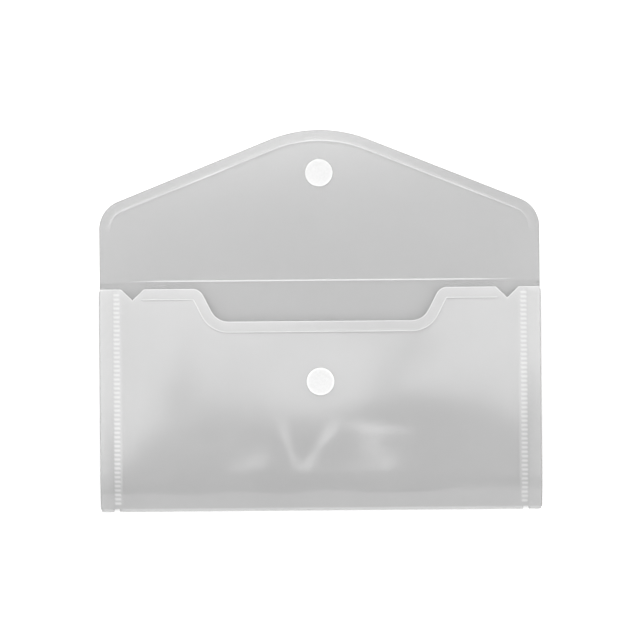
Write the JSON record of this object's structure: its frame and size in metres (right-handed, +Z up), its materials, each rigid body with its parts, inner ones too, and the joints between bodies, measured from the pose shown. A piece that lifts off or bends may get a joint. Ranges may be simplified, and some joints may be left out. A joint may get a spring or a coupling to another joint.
{
  "type": "document wallet",
  "caption": "Clear flexible plastic document wallet with a gusseted pocket, scooped mouth and a scored fold-over flap that closes on a hook and loop pad.",
  "frame": {"origin": "on the surface that the wallet lies on, under the middle of the open wallet's outline", "axes": "+X across the wallet, +Y from the bottom fold to the tip of the flap, +Z up from the surface"},
  "size_m": [0.254, 0.2194, 0.0069],
  "materials": {
    "sheet": "translucent polypropylene, fine satin grain",
    "seam": "stress-whitened weld, frosted",
    "hook": "white nylon hook tape",
    "loop": "white nylon loop tape",
    "adhesive": "pressure-sensitive adhesive film"
  },
  "bodies": {
    "back": {"back_panel": "sheet", "bottom_fold": "sheet", "gusset_back_leaf_left": "sheet", "gusset_back_leaf_right": "sheet", "flap_crease": "sheet"},
    "front": {"front_panel": "sheet", "gusset_front_leaf_left": "sheet", "gusset_front_leaf_right": "sheet", "side_seam_left": "seam", "side_seam_right": "seam", "loop_adhesive": "adhesive", "loop_pad": "loop"},
    "flap": {"flap": "sheet", "hook_adhesive": "adhesive", "hook_pad": "hook"}
  },
  "joints": [
    {"name": "flap_hinge", "type": "hinge", "parent": "back", "child": "flap", "pos_m": [0, 0.0248, 0.00393], "axis": [1, 0, 0], "range_deg": [0, 179.5], "deforming": ["flap_crease"]},
    {"name": "pocket_hinge", "type": "hinge", "parent": "back", "child": "front", "pos_m": [0, -0.1085, 0.00125], "axis": [1, 0, 0], "range_deg": [-2, 0], "stiffness_Nm_per_rad": 0.3, "springref_deg": 3.44, "deforming": ["gusset_back_leaf_left", "gusset_front_leaf_left", "gusset_back_leaf_right", "gusset_front_leaf_right", "side_seam_left", "side_seam_right"]}
  ]
}
